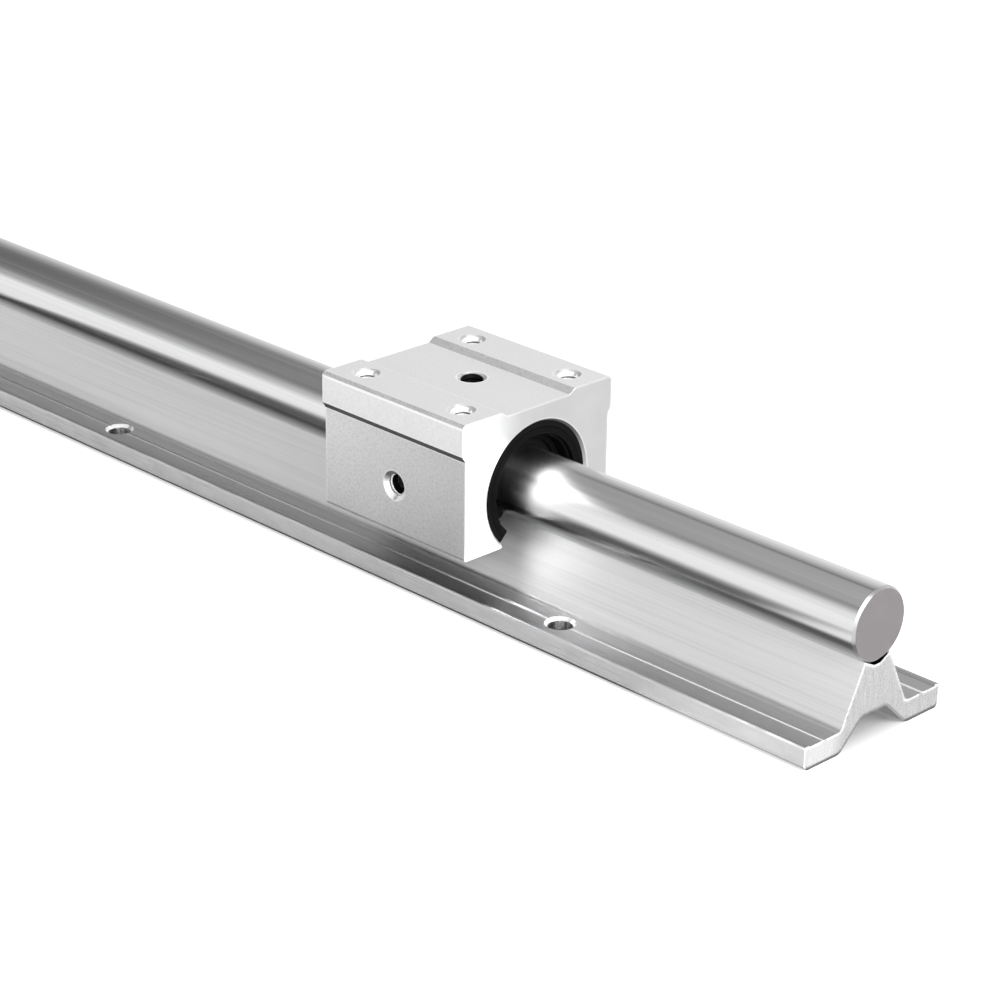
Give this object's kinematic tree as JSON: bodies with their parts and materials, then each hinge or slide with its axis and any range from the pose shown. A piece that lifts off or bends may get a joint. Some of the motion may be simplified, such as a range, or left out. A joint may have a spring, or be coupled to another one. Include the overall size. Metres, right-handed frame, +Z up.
{
  "type": "supported round rail",
  "caption": "Round steel shaft on a flanged aluminium support rail, with an open ball-bearing pillow block that slides along it.",
  "frame": {"origin": "middle of the rail's length and width, on the plane that the support's foot stands on", "axes": "+X along the rail towards its near end, +Z up from the mounting plane through the shaft's axis, +Y across the rail"},
  "size_m": [0.3, 0.045, 0.045],
  "materials": {
    "support_aluminium": "satin extruded",
    "block_aluminium": "fine blasted",
    "shaft_chrome": "ground and chromed",
    "screw_steel": "black oxide",
    "bearing_steel": "ground",
    "retainer_plastic": "moulded",
    "seal_rubber": "moulded",
    "ring_steel": "phosphated spring steel"
  },
  "bodies": {
    "rail": {"support_rail": "support_aluminium", "shaft": "shaft_chrome", "shaft_screw_1": "screw_steel", "shaft_screw_2": "screw_steel"},
    "carriage": {"block_housing": "block_aluminium", "bearing_sleeve": "bearing_steel", "ball_retainer": "retainer_plastic", "wiper_seal_front": "seal_rubber", "wiper_seal_back": "seal_rubber", "snap_ring_front": "ring_steel", "snap_ring_back": "ring_steel", "side_set_screw": "screw_steel"}
  },
  "joints": [
    {"name": "carriage_slide", "type": "slide", "parent": "rail", "child": "carriage", "axis": [1, 0, 0], "range_m": [-0.1609, 0.0947]}
  ]
}
